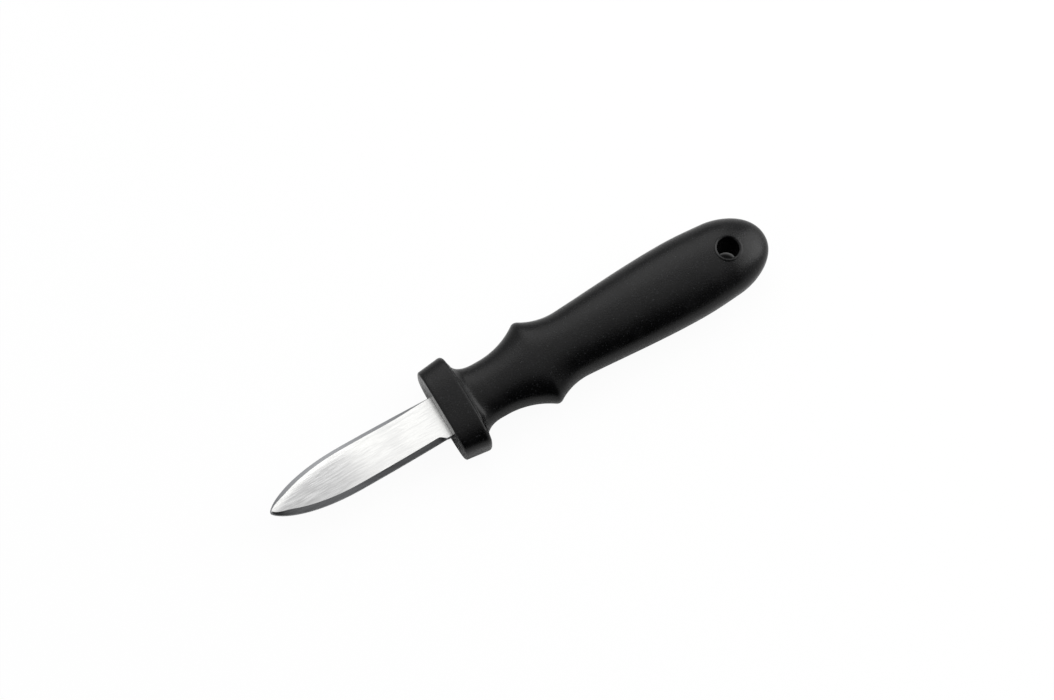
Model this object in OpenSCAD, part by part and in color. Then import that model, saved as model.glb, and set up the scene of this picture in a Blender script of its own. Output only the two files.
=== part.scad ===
// Oyster knife: a short double-bevelled blade in a moulded soft handle with a guard and finger wings.
// X runs along the knife from the tip to the butt, Y across it and Z up through the blade's flat.
// Z = 0 is the handle's lowest point and X = 0 is half way along the knife.

/* [Blade] */
// Length of the blade that shows, from the tip to the guard
blade_len = 61.4; // [54:0.1:75]
// Greatest width of the blade
blade_w = 15.3; // [14:0.1:18]
// Width of the blade where it enters the guard
blade_root_w = 14.3; // [12:0.1:15.3]
// Distance from the tip to the widest place
blade_belly = 29.7; // [24:0.1:38]
// Thickness of the steel
blade_t = 2.4; // [1.6:0.1:3.2]
// Thickness of the blunt edge that the bevels leave
edge_t = 1.2; // [0.6:0.1:1.4]
// Width of the ground bevel that fades out towards the guard
fading_bevel_w = 1.2; // [0.8:0.1:1.6]
// Width of the ground bevel that ends in a short plunge
plunging_bevel_w = 1.6; // [1:0.1:2]
// How much wider both bevels get towards the tip
bevel_growth = 0.3; // [0:0.1:0.5]

/* [Tang] */
// How far the full width of the blade runs into the guard
shoulder_depth = 4.5; // [3:0.1:6]
// Length of the tang behind the shoulder
tang_len = 78; // [60:0.5:84]
// Width of the tang
tang_w = 10; // [8:0.1:11]
// Diameter of the anchor holes that the core fills
anchor_d = 5; // [3:0.1:6]
// Number of anchor holes
anchor_count = 3; // [1:1:4]

/* [Guard] */
// Width of the guard across its rear edge
guard_w = 33.3; // [31:0.1:38]
// Thickness of the guard in its middle
guard_t = 17.5; // [16:0.1:17.8]
// Length of the guard along the knife
guard_len = 9.4; // [8:0.1:10.5]
// How much the rim narrows towards the front, on each side
guard_draft = 1.2; // [0.5:0.1:2]
// Radius of the guard's front edge
guard_front_r = 0.6; // [0.3:0.1:1.2]
// Radius of the guard's rear edge
guard_rear_r = 1.7; // [0.8:0.1:2.2]
// How far the guard's rear face leans back on its way in to the neck
guard_lean = 0.4; // [0.2:0.1:1.2]
// Height of the hollow between the guard and the neck
hollow_h = 3.5; // [2:0.1:3.8]
// Length of the hollow between the guard and the neck, at the sides of the handle
hollow_len = 6.7; // [4:0.1:7.5]
// Length of the same hollow on the handle's upper and lower faces
hollow_face_len = 3; // [2:0.1:4]

/* [Handle] */
// Length of the handle with its guard
handle_len = 118.6; // [116:0.1:130]
// Width of the neck that finger and thumb hold
neck_w = 19.3; // [17.5:0.1:21]
// Thickness of the neck
neck_t = 13.6; // [12.5:0.1:15]
// Distance from the guard's front to the narrowest place of the neck
neck_x = 18.5; // [17.6:0.1:20]
// Width across the two finger wings
wing_w = 29.6; // [27.5:0.1:32]
// Distance from the guard's front to the wings
wing_x = 34.6; // [33:0.1:36]
// Length of the rounded crest of each wing
wing_round = 2.3; // [1.4:0.1:3]
// Width of the waist behind the wings
waist_w = 22.7; // [21:0.1:24]
// Distance from the guard's front to the waist
waist_x = 46.3; // [45:0.1:50]
// Thickness of the handle at the waist
waist_t = 16.4; // [15:0.1:17.5]
// Greatest width of the palm swell
belly_w = 27.2; // [25:0.1:30]
// Greatest thickness of the palm swell
belly_t = 18; // [17.9:0.1:20]
// Distance from the guard's front to the widest place of the palm swell
belly_x = 88.4; // [82:0.1:92]
// Length of the rounded butt
butt_len = 16.3; // [14:0.1:18]
// Width that the palm swell tapers towards at the end of the butt
butt_w = 24.7; // [22:0.1:26]
// Thickness that the palm swell tapers towards at the end of the butt
butt_t = 14.4; // [13:0.1:16]

/* [Hang hole] */
// Diameter of the hang hole
hole_d = 7; // [5:0.1:8]
// Distance from the end of the butt to the middle of the hang hole
hole_inset = 13.9; // [13:0.1:16]
// Depth of the softened edge at both mouths of the hang hole
hole_lip = 0.5; // [0.3:0.1:0.8]

/* [Core] */
// Thickness of the soft grip over the rigid core
skin = 2.3; // [1.8:0.1:2.6]
// Thickness of the soft lining round the hang hole
eye_lining = 2.2; // [1.6:0.1:2.4]

/* [Hidden] */

// Squareness of the oval sections: 2 is an ellipse and more is boxier
guard_square = 3.4;
body_square = 2.3;

// Faces round the sections of the grip and of the core
grip_sides = 60;
core_sides = 32;

// Overlap that carries a cutting tool clear of the face it cuts
clear = 1;

// Smallest half size of a closing ring or flat
nib = 0.05;

middle_x = (handle_len - blade_len) / 2;
axis_z = belly_t / 2;
hole_x = handle_len - hole_inset;
butt_x = handle_len - butt_len;
hollow_x = guard_len + guard_lean;
neck_start = hollow_x + hollow_len;

// A smooth step from 0 to 1
function smooth(t) = let (u = max(0, min(1, t))) u * u * (3 - 2 * u);

// Cubic curve through two stations, each [x, size, slope]
function between(a, b, x) =
    let (l = b[0] - a[0], t = (x - a[0]) / l, s = t * t * (3 - 2 * t))
    a[1] * (1 - s) + b[1] * s + l * a[2] * t * (1 - t) * (1 - t) - l * b[2] * t * t * (1 - t);

// Size at x along a row of stations
function along(row, x, i = 0) =
    i >= len(row) - 2 || x <= row[i + 1][0] ? between(row[i], row[i + 1], x) : along(row, x, i + 1);

// A circular dip: lowest at 0, and risen by `rise` at a distance `run`
function dip_r(run, rise) = (run * run + rise * rise) / (2 * rise);
function dip(d, run, rise) =
    let (r = dip_r(run, rise)) r - sqrt(max(0, r * r - d * d));
function dip_slope(d, run, rise) =
    let (r = dip_r(run, rise)) d / sqrt(r * r - d * d);

// The neck and the waist are circular dips that meet at the wings in a small rounded crest
wing_in = wing_x - wing_round / 2;
wing_out = wing_x + wing_round / 2;
wing_half = wing_w / 2;
crest_drop = 0.16 * wing_round;
neck_run = wing_in - neck_x;
neck_rise = wing_half - crest_drop - neck_w / 2;
waist_run = waist_x - wing_out;
waist_rise = wing_half - crest_drop - waist_w / 2;
crest = [
    [wing_in, wing_half - crest_drop, dip_slope(neck_run, neck_run, neck_rise)],
    [wing_x, wing_half, 0],
    [wing_out, wing_half - crest_drop, -dip_slope(waist_run, waist_run, waist_rise)]
];

// From the waist the palm swell takes over, a little past the lowest place of the dip
swell_start = 1.2;
swell = [
    [waist_x + swell_start, waist_w / 2 + dip(swell_start, waist_run, waist_rise),
        dip_slope(swell_start, waist_run, waist_rise)],
    [belly_x, belly_w / 2, 0],
    [handle_len, butt_w / 2, 0.07]
];

// Half width at x behind the guard
function half_width(x) =
    x < neck_x ? neck_w / 2
    : x < wing_in ? neck_w / 2 + dip(x - neck_x, neck_run, neck_rise)
    : x < wing_out ? along(crest, x)
    : x < waist_x + swell_start ? waist_w / 2 + dip(x - waist_x, waist_run, waist_rise)
    : along(swell, x);

// Half thicknesses behind the guard
side = [
    [0, neck_t / 2, 0],
    [neck_x, neck_t / 2, 0.02],
    [waist_x, waist_t / 2, 0.035],
    [belly_x, belly_t / 2, 0],
    [handle_len, butt_t / 2, -0.09]
];

// A ring is [x, half width, half thickness, squareness], and a shell is set in from the outside by an inset
function cap(x, inset) =
    x <= butt_x ? 1 : sqrt(max(0, 1 - pow((x - butt_x) / (butt_len - inset), 2)));
function body_ring(x, inset = 0) =
    [x, max(nib, (half_width(x) - inset) * cap(x, inset)),
        max(nib, (along(side, x) - inset) * cap(x, inset)), body_square];

function steps(a, b, n) = [for (i = [1 : n]) a + (b - a) * i / n];
function butt_steps(inset, n) =
    [for (i = [1 : n]) butt_x + (butt_len - inset) * sin(90 * i / n)];

// The guard: front edge, drafted rim, rear edge and rear face.
// The rear edge is crisper on the faces than at the sides
guard_half = guard_w / 2;
proud = (guard_t - neck_t) / 2;
function rim_half(x) = guard_half - guard_draft * (1 - x / guard_len);
guard_rings = [
    for (a = [0 : 30 : 90])
        let (x = guard_front_r * (1 - cos(a)), drop = guard_front_r * (1 - sin(a)))
        [x, rim_half(x) - drop, guard_t / 2 - drop, guard_square],
    for (a = [0 : 22.5 : 90])
        let (x = guard_len - guard_rear_r * (1 - sin(a)))
        [x, rim_half(x) - guard_rear_r * (1 - cos(a)), guard_t / 2 - proud / 2 * pow(1 - cos(a), 2),
            guard_square]
];

// The hollow that runs in from the guard's rear face to the neck
hollow_rings = [
    for (a = [0 : 15 : 90])
        let (run = hollow_len * (1 - cos(a)))
        [hollow_x + run, neck_w / 2 + hollow_h * (1 - sin(a)),
            neck_t / 2 + proud / 2 * pow(max(0, 1 - run / hollow_face_len), 2),
            guard_square + (body_square - guard_square) * smooth(sin(a))]
];

body_x = concat(
    steps(neck_start, wing_in, 9), steps(wing_in, wing_out, 6), steps(wing_out, waist_x, 6),
    steps(waist_x, butt_x, 18), butt_steps(0, 10)
);
grip_rings = concat(guard_rings, hollow_rings, [for (x = body_x) body_ring(x)]);

// The core's flange fills the guard, and its stem follows the handle under the skin
flange_end = guard_len - skin;
function flange_ring(x) = [x, rim_half(x) - skin, guard_t / 2 - skin, guard_square];
core_x = concat(
    [flange_end + skin / 2], steps(flange_end + skin, wing_in, 5), [wing_x, wing_out],
    steps(wing_out, waist_x, 3), steps(waist_x, butt_x, 5), butt_steps(skin, 5)
);
core_rings = concat([flange_ring(skin), flange_ring(flange_end)],
    [for (x = core_x) body_ring(x, skin)]);

// Point of an oval section at an angle
function power(v, e) = sign(v) * pow(abs(v), e);
function oval(ring, a) =
    [ring[0], ring[1] * power(cos(a), 2 / ring[3]), ring[2] * power(sin(a), 2 / ring[3])];

// Skin stretched over rings of n points each, closed at both ends
function skin_faces(rings, n) = concat(
    [[for (j = [0 : n - 1]) j]],
    [for (i = [0 : rings - 2], j = [0 : n - 1], half = [0, 1])
        let (k = (j + 1) % n, a = i * n, b = a + n)
        half == 0 ? [a + j, b + j, b + k] : [a + j, b + k, a + k]],
    [[for (j = [n - 1 : -1 : 0]) (rings - 1) * n + j]]
);

module loft(rings, sides) {
    points = [for (r = rings, j = [0 : sides - 1]) oval(r, 360 * j / sides)];
    polyhedron(points, skin_faces(len(rings), sides));
}

// Half width of the blade at a distance d behind its tip: a full nose, then nearly parallel edges
nose_front = 2.28;
nose_side = 1.44;
function blade_half(d) =
    d < blade_belly
    ? blade_w / 2 * pow(1 - pow((blade_belly - d) / (blade_belly + nib), nose_front), 1 / nose_side)
    : blade_w / 2 - (blade_w - blade_root_w) / 2
        * pow(min(1, (d - blade_belly) / (blade_len - blade_belly)), 2);

// Both bevels widen towards the tip. One fades out slowly, and the other ends in a short plunge
fade_start = 0.71 * blade_len;
fade_end = blade_len + 6.5;
plunge_start = blade_len - 4.4;
plunge_end = blade_len - 1.5;
function bevel(w, d, from, to) =
    max(nib / 2, (w + bevel_growth * (1 - smooth(d / blade_belly))) * (1 - smooth((d - from) / (to - from))));
function left_bevel(d) = bevel(fading_bevel_w, d, fade_start, fade_end);
function right_bevel(d) = bevel(plunging_bevel_w, d, plunge_start, plunge_end);

// Section of the blade at d: flat, bevel and blunt edge on each side
function blade_section(d) =
    let (
        h = blade_half(d),
        rise = edge_t / 2 + (blade_t - edge_t) / 2 * min(1, (d + nib) / fading_bevel_w),
        l = max(nib / 2, h - left_bevel(d)),
        r = max(nib / 2, h - right_bevel(d)),
        e = edge_t / 2,
        x = d - blade_len
    )
    [[x, h, -e], [x, h, e], [x, l, rise], [x, -r, rise],
        [x, -h, e], [x, -h, -e], [x, -r, -rise], [x, l, -rise]];

blade_d = concat(
    [for (i = [0 : 18]) blade_belly * (1 - cos(90 * i / 18))],
    steps(blade_belly, fade_start, 3), steps(fade_start, plunge_start, 5),
    steps(plunge_start, plunge_end, 6), [blade_len, blade_len + shoulder_depth]
);

module blade_form() {
    sections = [for (d = blade_d) blade_section(d)];
    polyhedron([for (s = sections, p = s) p], skin_faces(len(sections), 8));
    // The tang is a plate of the same steel with a round end
    translate([0, 0, -blade_t / 2])
        linear_extrude(blade_t)
            union() {
                translate([shoulder_depth - clear, -tang_w / 2])
                    square([tang_len - tang_w / 2 + clear, tang_w]);
                translate([shoulder_depth + tang_len - tang_w / 2, 0])
                    circle(d = tang_w, $fn = 48);
            }
}

module anchor_holes() {
    pitch = (tang_len - tang_w) / anchor_count;
    for (i = [1 : anchor_count])
        translate([shoulder_depth + pitch * i, 0, -blade_t / 2 - clear])
            cylinder(d = anchor_d, h = blade_t + 2 * clear, $fn = 48);
}

// Round tool down through the handle at the hang hole
module hole_tool(d) {
    translate([hole_x, 0, -belly_t])
        cylinder(d = d, h = 2 * belly_t, $fn = 64);
}

// Softened mouths of the hang hole, cut where the handle's surface meets the hole
module hole_mouths() {
    mouth_z = body_ring(hole_x)[2];
    for (up = [0, 1])
        mirror([0, 0, up])
            translate([hole_x, 0, mouth_z - hole_lip])
                cylinder(d1 = hole_d, d2 = hole_d + 4 * hole_lip, h = 2 * hole_lip, $fn = 64);
}

module core_form() {
    difference() {
        loft(core_rings, core_sides);
        hole_tool(hole_d + 2 * eye_lining);
    }
}

module blade() {
    color("#c9cacb")
        translate([-middle_x, 0, axis_z])
            difference() {
                blade_form();
                anchor_holes();
            }
}

module handle_core() {
    color("#3a3c40")
        translate([-middle_x, 0, axis_z])
            difference() {
                core_form();
                difference() {
                    blade_form();
                    anchor_holes();
                }
            }
}

module grip() {
    color("#1e1f21")
        translate([-middle_x, 0, axis_z])
            difference() {
                loft(grip_rings, grip_sides);
                core_form();
                blade_form();
                hole_tool(hole_d);
                hole_mouths();
            }
}

blade();
handle_core();
grip();
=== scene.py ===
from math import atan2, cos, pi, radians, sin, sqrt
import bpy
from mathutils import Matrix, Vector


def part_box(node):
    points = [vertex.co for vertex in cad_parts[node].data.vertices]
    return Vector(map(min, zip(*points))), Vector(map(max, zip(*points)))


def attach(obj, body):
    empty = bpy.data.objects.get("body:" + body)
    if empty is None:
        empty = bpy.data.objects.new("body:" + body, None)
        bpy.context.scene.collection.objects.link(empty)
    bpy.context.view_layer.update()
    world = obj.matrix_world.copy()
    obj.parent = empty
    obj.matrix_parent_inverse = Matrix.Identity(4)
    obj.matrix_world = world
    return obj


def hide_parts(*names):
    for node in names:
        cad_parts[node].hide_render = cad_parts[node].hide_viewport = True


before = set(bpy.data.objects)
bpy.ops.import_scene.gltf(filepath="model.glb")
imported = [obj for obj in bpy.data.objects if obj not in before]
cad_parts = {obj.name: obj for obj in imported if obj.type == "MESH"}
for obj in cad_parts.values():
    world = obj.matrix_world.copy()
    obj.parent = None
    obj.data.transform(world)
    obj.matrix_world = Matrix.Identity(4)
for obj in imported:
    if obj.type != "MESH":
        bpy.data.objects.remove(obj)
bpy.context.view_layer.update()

# %% [markdown]
# An oyster knife has two things to look at: a short blade of brushed stainless steel
# and a black handle of moulded elastomer. The construction model fixes the sizes of the
# solids. This script reads the main ones back from the frame and repeats the others. It
# makes smoother surfaces over the same solids, adds a few forms that are too fine for
# them, and gives each piece the finish of the real material.
# Sizes are in millimetres, but for names that end in _M, and MM turns them into metres.

MM = 0.001
blade_low, blade_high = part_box("blade")
grip_low, grip_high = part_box("grip")
TIP_X = blade_low.x / MM
GUARD_X = grip_low.x / MM
BUTT_X = grip_high.x / MM
AXIS_Z = (blade_low.z + blade_high.z) / 2 / MM
BLADE_LEN = GUARD_X - TIP_X
HANDLE_LEN = BUTT_X - GUARD_X
BLADE_W = (blade_high.y - blade_low.y) / MM
BLADE_T = (blade_high.z - blade_low.z) / MM
BELLY_T = (grip_high.z - grip_low.z) / MM
print(f"blade {BLADE_LEN:.1f} mm, handle {HANDLE_LEN:.1f} mm, axis {AXIS_Z:.1f} mm above the floor")

# %% [markdown]
# A picture colour such as #1d1e20 is stored with a gamma curve, and the renderer works
# in linear light, so one function turns the first into the second. Node trees are
# long to write by hand, so one more function adds a node, its settings and its links.

# %% Two helpers: colours and nodes
def colour(hex_code):
    """The linear colour of an sRGB hex code."""
    srgb = [int(hex_code[i:i + 2], 16) / 255 for i in (1, 3, 5)]
    linear = [c / 12.92 if c <= 0.04045 else ((c + 0.055) / 1.055) ** 2.4 for c in srgb]
    return (*linear, 1)


def add(tree, kind, settings=None, inputs=None):
    """A new node of that kind. An input is a value, or an output of another node."""
    node = tree.nodes.new(kind)
    for name, value in (settings or {}).items():
        setattr(node, name, value)
    for key, value in (inputs or {}).items():
        if isinstance(value, bpy.types.NodeSocket):
            tree.links.new(value, node.inputs[key])
        else:
            node.inputs[key].default_value = value
    return node


# %% [markdown]
# The camera comes first, because everything is judged through it. The photograph was
# taken from almost straight above, tipped about 17 degrees towards the bottom of the
# picture, through a long lens. The knife lies turned about 30 degrees on the table.
# The tip is the starting point of the measurements, as it is easy to find.

# %% Camera
PHOTO_W = 1054
TILT = radians(17)
TURN = radians(30.53)
DISTANCE = 1104
PX_PER_MM = 3.175
AIM = (79.65, 53.07)
SENSOR = 36
NEAREST_SEEN_M = 0.01

def from_table(x, y, z):
    """A place on the photographed table, measured from the tip, in the knife's frame."""
    return Vector((TIP_X + x * cos(TURN) + y * sin(TURN), y * cos(TURN) - x * sin(TURN), AXIS_Z + z))


def direction(x, y, z):
    """A direction on the photographed table, for the camera, in the knife's frame."""
    return Vector((x * cos(TURN) + y * sin(TURN), y * cos(TURN) - x * sin(TURN), z))


camera = bpy.data.objects.new("camera", bpy.data.cameras.new("camera"))
bpy.context.scene.collection.objects.link(camera)
bpy.context.scene.camera = camera
back = direction(0, -sin(TILT), cos(TILT))
right = direction(1, 0, 0)
up = back.cross(right)
place = (from_table(*AIM, 0) + DISTANCE * back) * MM
camera.matrix_world = Matrix((
    (right.x, up.x, back.x, place.x),
    (right.y, up.y, back.y, place.y),
    (right.z, up.z, back.z, place.z),
    (0, 0, 0, 1),
))
camera.data.sensor_width = SENSOR
camera.data.lens = DISTANCE * PX_PER_MM / PHOTO_W * SENSOR
camera.data.clip_start = NEAREST_SEEN_M
print(f"lens {camera.data.lens:.0f} mm at {DISTANCE} mm")

# %% [markdown]
# The light is plain and soft: a white room that is brightest overhead. Black elastomer
# and bare steel show their form only through what they reflect. Round the camera the
# room is dark, because camera and photographer stand there. That dark patch makes the
# long dark band on the handle. With painted shade in the steel's colour it also makes
# the dark lower bevel and the grey on the blade's tip.
# The world's shader makes both: it dims towards the horizon, and has one dark oval.
# Past the paper's edge the camera itself sees plain white.

# %% World: a white room with a dark patch round the camera
ROOM_TOP = colour("#ffffff")
ROOM_LOW = colour("#d0d1d2")
ROOM_DARK = colour("#101113")
HORIZON, OVERHEAD = 0.1, 0.85
DARK_MIDDLE = Vector((-0.24, -0.8, 0.58)).normalized()
DARK_NARROW = 1.2
DARK_CORE, DARK_RIM = 0.62, 1.08
world = bpy.data.worlds.new("studio")
bpy.context.scene.world = world
world.use_nodes = True
tree = world.node_tree
tree.nodes.clear()
coordinates = add(tree, "ShaderNodeTexCoord")
height = add(tree, "ShaderNodeSeparateXYZ", inputs={0: coordinates.outputs["Generated"]})
upward = add(tree, "ShaderNodeMapRange", {"interpolation_type": "SMOOTHSTEP"},
             {"Value": height.outputs["Z"], "From Min": HORIZON, "From Max": OVERHEAD})
room = add(tree, "ShaderNodeMix", {"data_type": "RGBA"},
           {"Factor": upward.outputs["Result"], 6: ROOM_LOW, 7: ROOM_TOP})
narrowed = add(tree, "ShaderNodeMapping", inputs={
    "Vector": coordinates.outputs["Generated"], "Scale": (DARK_NARROW, 1, 1)})
away = add(tree, "ShaderNodeVectorMath", {"operation": "DISTANCE"}, {
    0: narrowed.outputs[0], 1: (DARK_MIDDLE.x * DARK_NARROW, DARK_MIDDLE.y, DARK_MIDDLE.z)})
clear_of_it = add(tree, "ShaderNodeMapRange", {"interpolation_type": "SMOOTHSTEP"},
                  {"Value": away.outputs["Value"], "From Min": DARK_CORE, "From Max": DARK_RIM})
shaded = add(tree, "ShaderNodeMix", {"data_type": "RGBA"},
             {"Factor": clear_of_it.outputs["Result"], 6: ROOM_DARK, 7: room.outputs[2]})
lit = add(tree, "ShaderNodeBackground", inputs={"Color": shaded.outputs[2], "Strength": 1.0})
plain = add(tree, "ShaderNodeBackground", inputs={"Color": (1, 1, 1, 1), "Strength": 1.0})
path = add(tree, "ShaderNodeLightPath")
seen = add(tree, "ShaderNodeMixShader", inputs={
    0: path.outputs["Is Camera Ray"], 1: lit.outputs[0], 2: plain.outputs[0]})
add(tree, "ShaderNodeOutputWorld", inputs={"Surface": seen.outputs[0]})
print("room ready")

# %% [markdown]
# Two soft boxes light the table. One hangs behind the knife, towards +Y. The other is
# beyond the butt, where it draws the pale line behind the guard and the sheen on the
# butt's end. The floor is a sheet of white paper that keeps the knife's soft shadow.
# Most of its white is its own glow, so that it is white in the picture without more
# light on the knife. Right under the handle it has no glow, so the true contact shadow
# shows from the side. Under the hang hole the paper is painted dark grey: painted shade
# for the deep shade seen through the hole.
# Close to the knife the paper doesn't glow in reflections, which keep the true shade.

# %% Soft boxes and paper
LAMP_AWAY_M = 0.9

def soft_lamp(name, towards, size, power):
    """A square soft box that faces the knife from there, size in metres and power in watts."""
    lamp = bpy.data.objects.new(name, bpy.data.lights.new(name, "AREA"))
    bpy.context.scene.collection.objects.link(lamp)
    lamp.data.size = size
    lamp.data.energy = power
    lamp.location = towards.normalized() * LAMP_AWAY_M
    lamp.rotation_euler = towards.to_track_quat("Z", "Y").to_euler()


soft_lamp("softbox_behind", Vector((0.42, 0.88, 1)), size=0.65, power=2.1)
soft_lamp("softbox_at_butt", Vector((1, -0.05, 0.5)), size=0.7, power=5.0)

HOLE_FROM_BUTT = 13.9
HOLE_X = BUTT_X - HOLE_FROM_BUTT
HOLE_SPOT_IN, HOLE_SPOT_OUT = 4, 5
SHADE_START = GUARD_X + 4
SHADE_IN, SHADE_OUT = 3, 8
MIRRORED_IN, MIRRORED_OUT = 20, 50
KNIFE_SQUEEZE = 0.3
GLOW = 0.95
FLOOR_HALF_M = 1.5
floor_mesh = bpy.data.meshes.new("floor")
floor_mesh.from_pydata(
    [(-FLOOR_HALF_M, -FLOOR_HALF_M, 0), (FLOOR_HALF_M, -FLOOR_HALF_M, 0),
     (FLOOR_HALF_M, FLOOR_HALF_M, 0), (-FLOOR_HALF_M, FLOOR_HALF_M, 0)], [], [(0, 1, 2, 3)])
floor = bpy.data.objects.new("floor", floor_mesh)
bpy.context.scene.collection.objects.link(floor)
paper = bpy.data.materials.new("white_paper_sweep")
paper.use_nodes = True
tree = paper.node_tree
tree.nodes.clear()
shine = add(tree, "ShaderNodeEmission", inputs={"Color": (1, 1, 1, 1), "Strength": 1.0})
path = add(tree, "ShaderNodeLightPath")
spot = add(tree, "ShaderNodeTexCoord")
along_knife = add(tree, "ShaderNodeMapping", inputs={
    "Vector": spot.outputs["Object"], "Scale": (KNIFE_SQUEEZE, 1, 1)})
from_knife = add(tree, "ShaderNodeVectorMath", {"operation": "LENGTH"}, {0: along_knife.outputs[0]})
open_paper = add(tree, "ShaderNodeMapRange", {"interpolation_type": "SMOOTHSTEP"}, {
    "Value": from_knife.outputs["Value"], "From Min": MIRRORED_IN * MM, "From Max": MIRRORED_OUT * MM})
mirrored = add(tree, "ShaderNodeMath", {"operation": "MULTIPLY"}, {
    0: path.outputs["Is Glossy Ray"], 1: open_paper.outputs[0]})
looked_at = add(tree, "ShaderNodeMath", {"operation": "MAXIMUM"}, {
    0: path.outputs["Is Camera Ray"], 1: mirrored.outputs[0]})
from_hole = add(tree, "ShaderNodeVectorMath", {"operation": "DISTANCE"}, {
    0: spot.outputs["Object"], 1: (HOLE_X * MM, 0, 0)})
clear_of_hole = add(tree, "ShaderNodeMapRange", inputs={
    "Value": from_hole.outputs["Value"], "From Min": HOLE_SPOT_IN * MM, "From Max": HOLE_SPOT_OUT * MM})
# Painted shade: under the hang hole the paper's colour is dark grey, for the deep shade seen through the
# hole.
paper_and_painted_shade = add(tree, "ShaderNodeMix", {"data_type": "RGBA"}, {
    "Factor": clear_of_hole.outputs[0], 6: colour("#343434"), 7: colour("#fafafa")})
where = add(tree, "ShaderNodeSeparateXYZ", inputs={0: spot.outputs["Object"]})
nearest = add(tree, "ShaderNodeClamp", inputs={
    "Value": where.outputs["X"], "Min": SHADE_START * MM, "Max": HOLE_X * MM})
on_line = add(tree, "ShaderNodeCombineXYZ", inputs={"X": nearest.outputs[0]})
from_line = add(tree, "ShaderNodeVectorMath", {"operation": "DISTANCE"}, {
    0: spot.outputs["Object"], 1: on_line.outputs[0]})
outside = add(tree, "ShaderNodeMapRange", {"interpolation_type": "SMOOTHSTEP"}, {
    "Value": from_line.outputs["Value"], "From Min": SHADE_IN * MM, "From Max": SHADE_OUT * MM})
sheet = add(tree, "ShaderNodeBsdfDiffuse", inputs={"Color": paper_and_painted_shade.outputs[2]})
glow = add(tree, "ShaderNodeMath", {"operation": "MULTIPLY"}, {0: outside.outputs[0], 1: GLOW})
share = add(tree, "ShaderNodeMath", {"operation": "MULTIPLY"}, {
    0: looked_at.outputs[0], 1: glow.outputs[0]})
mixed = add(tree, "ShaderNodeMixShader", inputs={
    0: share.outputs[0], 1: sheet.outputs[0], 2: shine.outputs[0]})
add(tree, "ShaderNodeOutputMaterial", inputs={"Surface": mixed.outputs[0]})
floor_mesh.materials.append(paper)
bpy.context.scene.view_settings.view_transform = "Standard"
print("soft boxes and paper ready")

# %% [markdown]
# The blade is satin stainless steel, finished on a belt that runs along its length. That
# leaves fine parallel scratches, which smear reflections across the blade. It is bare
# metal, so it is fully metallic, and its scratches are a noise stretched along the
# knife's X axis. Real ones are too fine to show in a picture, so these are drawn coarser.
# A second, broader noise is where the belt pressed less. On the tip half the flats are
# painted a darker, streaked grey: painted reflection of the darker room, with the belt's
# streaks in it, and a strip along one edge stays pale. The bevels and the blunt edge come
# from a coarser wheel, so they are rougher; their darker colour is painted shade. The
# mesh carries two attributes that say where: "ground" is 0 on the flats, 1 on the edge
# and between on bevels, and the second one is 1 on the painted grey part of the flats.

# %% Material: brushed stainless steel
SCRATCH_MM = 0.45
SCRATCH_STRETCH = 0.08
SCRATCH_DEPTH_MM = 0.02
PATCH_MM = 14
NOISE_LOW, NOISE_HIGH = 0.3, 0.7
PRESSED_LOW, PRESSED_HIGH = 0.12, 0.34
STREAK_DARK, STREAK_PALE = 0.35, 0.65
BEVEL_FULL, EDGE_FROM = 0.2, 0.8
STEEL_SMOOTHEST, STEEL_ROUGHEST = 0.16, 0.27
BEVEL_ROUGHER = 0.15

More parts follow.
